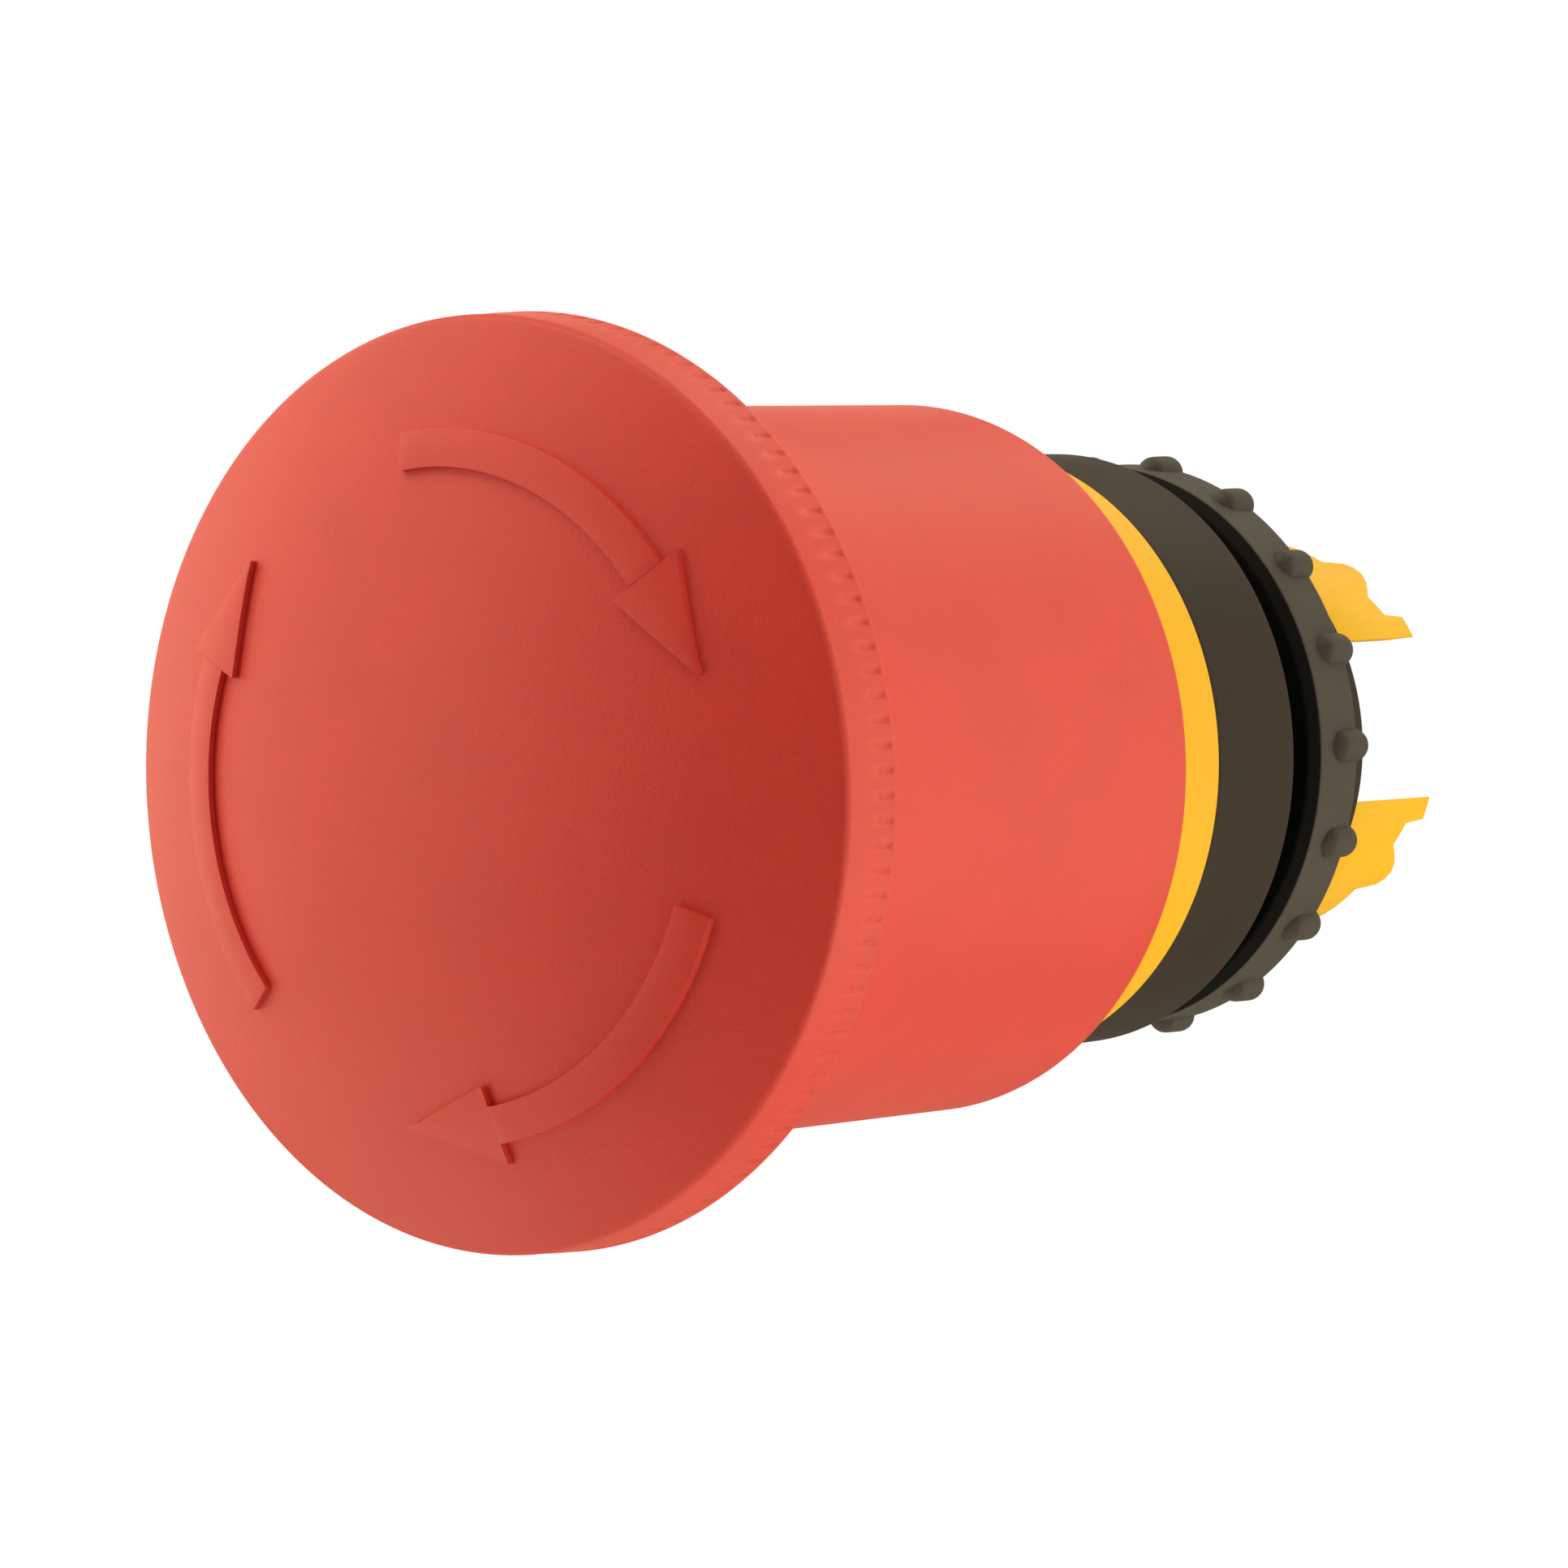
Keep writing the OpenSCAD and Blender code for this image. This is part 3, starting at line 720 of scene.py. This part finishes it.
def wind(end, pitch, turns, steps=40):
    """Winds the wire about Y: turns of that pitch, or one flat closed ring when the pitch is 0."""
    screw = end.modifiers.new("wind", "SCREW")
    screw.axis = "Y"
    screw.angle = TURN
    screw.screw_offset = pitch
    screw.iterations = turns
    screw.steps = steps
    screw.render_steps = steps
    apply_modifiers(end)
    edit(end)
    close_up(0.002 * MM)
    leave_edit()
    return end


def make_return_spring():
    """Five open turns between two flat closed ones. The real spring flattens as the button is pressed; this
    one keeps its shape.
    """
    front, back = span_y("return_spring")
    wire_r, mean_r, end_turn, turns = 0.5 * MM, 8.9 * MM, 1.02 * MM, 5
    first, last = front + wire_r, back - wire_r
    pitch = (last - first - 2 * end_turn) / turns
    ends = [wind(wire_end("spring_end_%d" % i, wire_r, mean_r, at, fill=False), 0, 1)
            for i, at in enumerate((first, last))]
    coil = wind(wire_end("return_spring_steel", wire_r, mean_r, first + end_turn), pitch, turns)
    spring = join([coil] + ends)
    finish_piece(spring, wire, "housing", "spring_steel", "return_spring", angle=60)
    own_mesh(spring)


def straight_leg(name, wire_r, mean_r, start, end):
    """A straight stretch of wire along the axis."""
    leg = wire_end(name, wire_r, mean_r, 0)
    leg.data.transform(Matrix.Translation((-mean_r, 0, 0)))
    leg.data.transform(Matrix.Rotation(math.pi / 2, 4, "X"))
    leg.data.transform(Matrix.Translation((mean_r, start, 0)))
    edit(leg, "SELECT")
    extrude(along_y=end - start)
    bpy.ops.mesh.select_all(action="SELECT")
    bpy.ops.mesh.normals_make_consistent(inside=False)
    leave_edit()
    return leg


def make_torsion_spring():
    """Five turns of wire with a straight leg at each end, from the plunger to the spindle's collar."""
    wire_r, mean_r, turns = 0.38 * MM, 3.9 * MM, 5
    leg_front, coil_front, coil_back, leg_back = 3.4 * MM, 5.4 * MM, 8.9 * MM, 10.8 * MM
    coil = wind(wire_end("torsion_spring_steel", wire_r, mean_r, coil_front),
                (coil_back - coil_front) / turns, turns)
    spring = join([
        coil,
        straight_leg("front_leg", wire_r, mean_r, leg_front, coil_front),
        straight_leg("rear_leg", wire_r, mean_r, coil_back, leg_back),
    ])
    finish_piece(spring, wire, None, "spring_steel", "torsion_spring", angle=60)
    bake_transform(spring)


def make_latch_springs():
    """Two small springs lying across the carrier, each between the carrier and a latch pin."""
    wire_r, mean_r, pin_y, turns = 0.1 * MM, 1.0 * MM, -4.5 * MM, 3
    inner, outer = 3.12 * MM, 4.16 * MM
    for side, pin in ((1, "latch_right"), (-1, "latch_left")):
        coil = wind(wire_end("spring_of_" + pin, wire_r, mean_r, 0, sides=8),
                    (outer - inner) / turns, turns, steps=24)
        coil.data.transform(Matrix.Rotation(-side * math.pi / 2, 4, "Z"))
        coil.data.transform(Matrix.Translation((side * inner, pin_y, 0)))
        finish_piece(coil, wire, None, "spring_steel", "latch_springs", angle=60)
        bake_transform(coil)


# ---------------------------------------------------------------- materials on the other frame nodes

FINISHES = {
    "red_plastic": red, "yellow_plastic": yellow, "black_plastic": black, "seal_rubber": rubber,
    "natural_plastic": acetal, "plated_steel": plated, "spring_steel": wire,
}


def dress_frame_nodes():
    """Gives every frame node the finish of its slot."""
    for part in frame["record"]["subparts"]:
        node = frame["nodes"][part["node"]]
        node.data.materials.clear()
        node.data.materials.append(FINISHES[part["material_slot"]])


# ---------------------------------------------------------------- floor, light and camera

WARM = (1.0, 0.95, 0.71)
TENT_FILL = 0.12            # the surround's strength as light on the button
LAMP_DISTANCE = 0.7
SOFT_BOXES = [              # name, azimuth, elevation, width, height, watts
    ("left_box", -85, 8, 0.5, 0.7, 2.2),
    ("left_high_box", -60, 48, 0.5, 0.5, 1.8),
    ("left_low_box", -60, -38, 0.5, 0.4, 1.2),
    ("left_rear_box", -125, 10, 0.5, 0.7, 1.0),
    ("front_left_box", -38, 5, 0.4, 0.5, 1.4),
    ("front_high_box", -10, 62, 0.5, 0.5, 1.0),
    ("front_low_box", -5, -62, 0.5, 0.5, 1.9),
    ("right_box", 75, 5, 0.4, 0.7, 1.1),
    ("right_low_box", 110, -38, 0.5, 0.4, 1.8),
    ("right_rear_box", 115, 10, 0.5, 0.7, 1.0),
    ("rear_box", 140, 0, 0.5, 0.8, 2.1),
    ("rear_high_box", 178, 42, 0.6, 0.5, 1.5),
    ("top_box", 180, 84, 0.7, 0.7, 1.5),
]


def seen_from(azimuth, elevation):
    """Direction in degrees from the button: azimuth from the operator's side, elevation up."""
    az, el = math.radians(azimuth), math.radians(elevation)
    return Vector((math.sin(az) * math.cos(el), -math.cos(az) * math.cos(el), math.sin(el)))


def soft_box(name, azimuth, elevation, width, height, watts):
    """A soft box that looks at the middle of the button from that side."""
    way = seen_from(azimuth, elevation)
    data = bpy.data.lights.new(name, "AREA")
    data.shape = "RECTANGLE"
    data.size = width
    data.size_y = height
    data.energy = watts
    data.color = WARM
    lamp = bpy.data.objects.new(name, data)
    lamp.location = Vector((0, -18 * MM, 0)) + way * LAMP_DISTANCE
    lamp.rotation_euler = way.to_track_quat("Z", "Y").to_euler()
    lamp.visible_camera = False
    bpy.context.collection.objects.link(lamp)


def mix_by_camera(tree, unseen, seen):
    """Shader that is seen by the camera and unseen by all other rays."""
    by_camera = add(tree, "ShaderNodeLightPath").outputs["Is Camera Ray"]
    return add(tree, "ShaderNodeMixShader", {0: by_camera, 1: unseen, 2: seen}).outputs[0]


def white_surround():
    """White behind everything the camera sees, dimmer as light on the button."""
    world = bpy.data.worlds.new("light_tent")
    bpy.context.scene.world = world
    world.use_nodes = True
    tree = world.node_tree
    seen = feed(tree, tree.nodes["Background"], {"Color": (1, 1, 1, 1), "Strength": 1})
    lit = add(tree, "ShaderNodeBackground", {"Color": (*WARM, 1), "Strength": TENT_FILL})
    surface = mix_by_camera(tree, lit.outputs[0], seen.outputs[0])
    feed(tree, tree.nodes["World Output"], {"Surface": surface})


def pale_floor():
    """A large pale floor, far enough below for the button's shadow to stay out of the view."""
    floor = start_piece("pale_floor", bpy.ops.mesh.primitive_circle_add, vertices=96, radius=6,
                        location=(0, 0, -0.5), fill_type="NGON")
    material, tree, shader = new_finish("pale_paper")
    fibre = noise(tree, object_place(tree), Scale=900, Detail=4)
    feed(tree, shader, {
        "Base Color": mix_colours(tree, fibre, (0.86, 0.86, 0.855, 1), (0.90, 0.90, 0.895, 1)),
        "Roughness": 0.9,
    })
    glow = add(tree, "ShaderNodeEmission", {"Strength": 1})
    surface = mix_by_camera(tree, shader.outputs[0], glow.outputs[0])
    feed(tree, tree.nodes["Material Output"], {"Surface": surface})
    floor.data.materials.append(material)


def place_camera():
    """Looks from the operator's right, a little above the axis."""
    distance = 650 * MM
    back = seen_from(40.45, 3.22)
    right = (-back).cross(Vector((0, 0, 1))).normalized()
    up = right.cross(-back)
    target = Vector((0, -1.5 * MM, 0)) - right * 13.99 * MM - up * 1.78 * MM
    data = bpy.data.cameras.new("camera")
    data.lens = 297.84
    data.sensor_width = 36
    data.clip_start = 0.01
    data.clip_end = 50
    camera = bpy.data.objects.new("camera", data)
    facing = back.to_track_quat("Z", "Y").to_matrix().to_4x4()
    camera.matrix_world = Matrix.Translation(target + back * distance) @ facing
    bpy.context.collection.objects.link(camera)
    bpy.context.scene.camera = camera


make_cap()
make_turned_pieces()
make_ring_nut()
make_barrel()
make_plunger()
make_return_spring()
make_torsion_spring()
make_latch_springs()
dress_frame_nodes()

bpy.context.scene.view_settings.view_transform = "Standard"
bpy.context.scene.view_settings.look = "None"
place_camera()
white_surround()
pale_floor()
for box in SOFT_BOXES:
    soft_box(*box)
